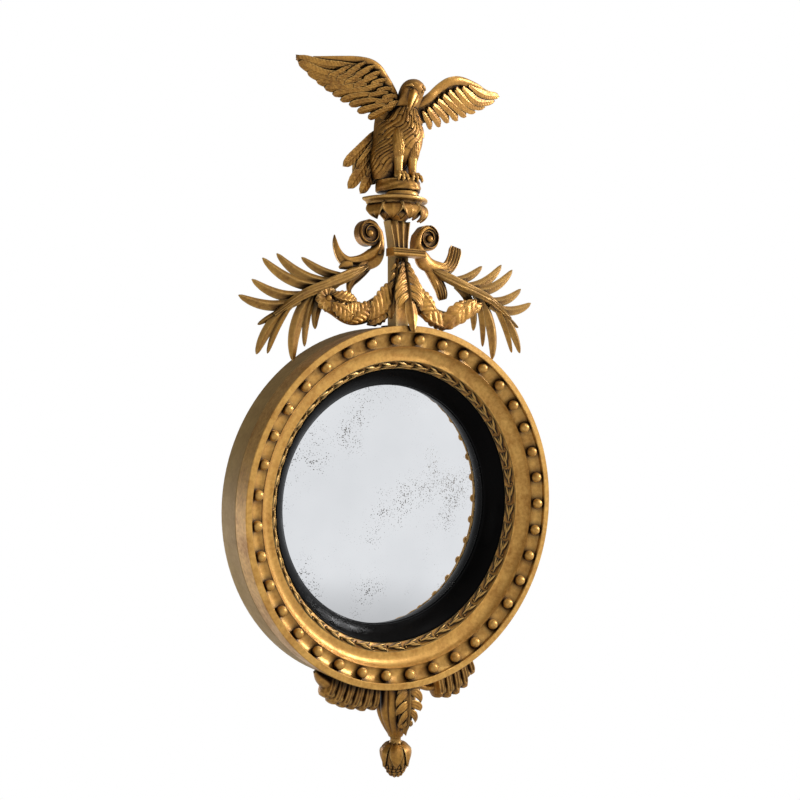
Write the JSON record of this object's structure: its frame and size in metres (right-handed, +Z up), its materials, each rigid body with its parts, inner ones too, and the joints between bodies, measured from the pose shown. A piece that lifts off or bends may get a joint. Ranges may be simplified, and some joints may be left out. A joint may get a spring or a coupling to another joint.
{
  "type": "girandole mirror",
  "caption": "Round convex wall mirror in a deep gilt drum frame with applied balls and black slip, carved eagle crest on a leafy post above and a leaf pendant below.",
  "frame": {"origin": "centre of the round drum on its flat back face, which lies on the wall", "axes": "+Z up along the post and pendant, +Y out of the back into the wall, the mirror faces -Y, +X to the right for someone who looks at the mirror"},
  "size_m": [0.6, 0.117, 1.185],
  "materials": {
    "gilt_wood": "aged gold leaf over gesso and red bole",
    "toned_carcass": "ochre-toned side, bare pine behind",
    "gilt_composition": "gilt composition ornament",
    "ebonised_wood": "black stain under shellac",
    "silvered_glass": "old silvering with foxing",
    "bare_pine": "aged bare softwood",
    "iron": "dark forged iron",
    "brass": "dull old brass"
  },
  "bodies": {
    "frame": {"applied_balls": "gilt_wood", "apron_cup": "gilt_wood", "apron_dowel": "bare_pine", "apron_leaf": "gilt_wood", "backboard": "bare_pine", "backboard_screws": "iron", "bud_leaf": "gilt_wood", "centre_leaf": "gilt_wood", "collar_band": "gilt_wood", "crest_abacus": "gilt_wood", "crest_bracket": "iron", "crest_bracket_screws": "iron", "crest_post": "gilt_wood", "eagle_body": "gilt_wood", "eagle_dowel": "bare_pine", "eagle_head": "gilt_wood", "eagle_left_wing": "gilt_wood", "eagle_legs": "gilt_wood", "eagle_plinth": "gilt_wood", "eagle_right_wing": "gilt_wood", "eagle_rock": "gilt_wood", "eagle_tail": "gilt_wood", "ebonised_slip": "ebonised_wood", "fluted_stem": "gilt_wood", "front_moulding": "gilt_wood", "glazing_blocks": "bare_pine", "hanger_screws": "brass", "leaf_cup": "gilt_wood", "left_acanthus": "gilt_wood", "left_gadroon": "gilt_wood", "left_garland": "gilt_wood", "left_hanger_strap": "brass", "left_spray": "gilt_wood", "left_volute": "gilt_wood", "mirror_glass": "silvered_glass", "ornament_band": "gilt_composition", "pendant_berries": "gilt_wood", "pendant_bud": "gilt_wood", "pendant_neck": "gilt_wood", "rear_ring": "toned_carcass", "right_acanthus": "gilt_wood", "right_gadroon": "gilt_wood", "right_garland": "gilt_wood", "right_hanger_strap": "brass", "right_spray": "gilt_wood", "right_volute": "gilt_wood", "slip_screws": "iron"},
    "left_ring": {"left_hanging_ring": "brass"},
    "right_ring": {"right_hanging_ring": "brass"}
  },
  "joints": [
    {"name": "left_ring_swing", "type": "hinge", "parent": "frame", "child": "left_ring", "pos_m": [-0.18602, -0.0033, 0.20659], "axis": [1, 0, 0], "range_deg": [0, 180]},
    {"name": "right_ring_swing", "type": "hinge", "parent": "frame", "child": "right_ring", "pos_m": [0.18602, -0.0033, 0.20659], "axis": [1, 0, 0], "range_deg": [0, 180]}
  ]
}
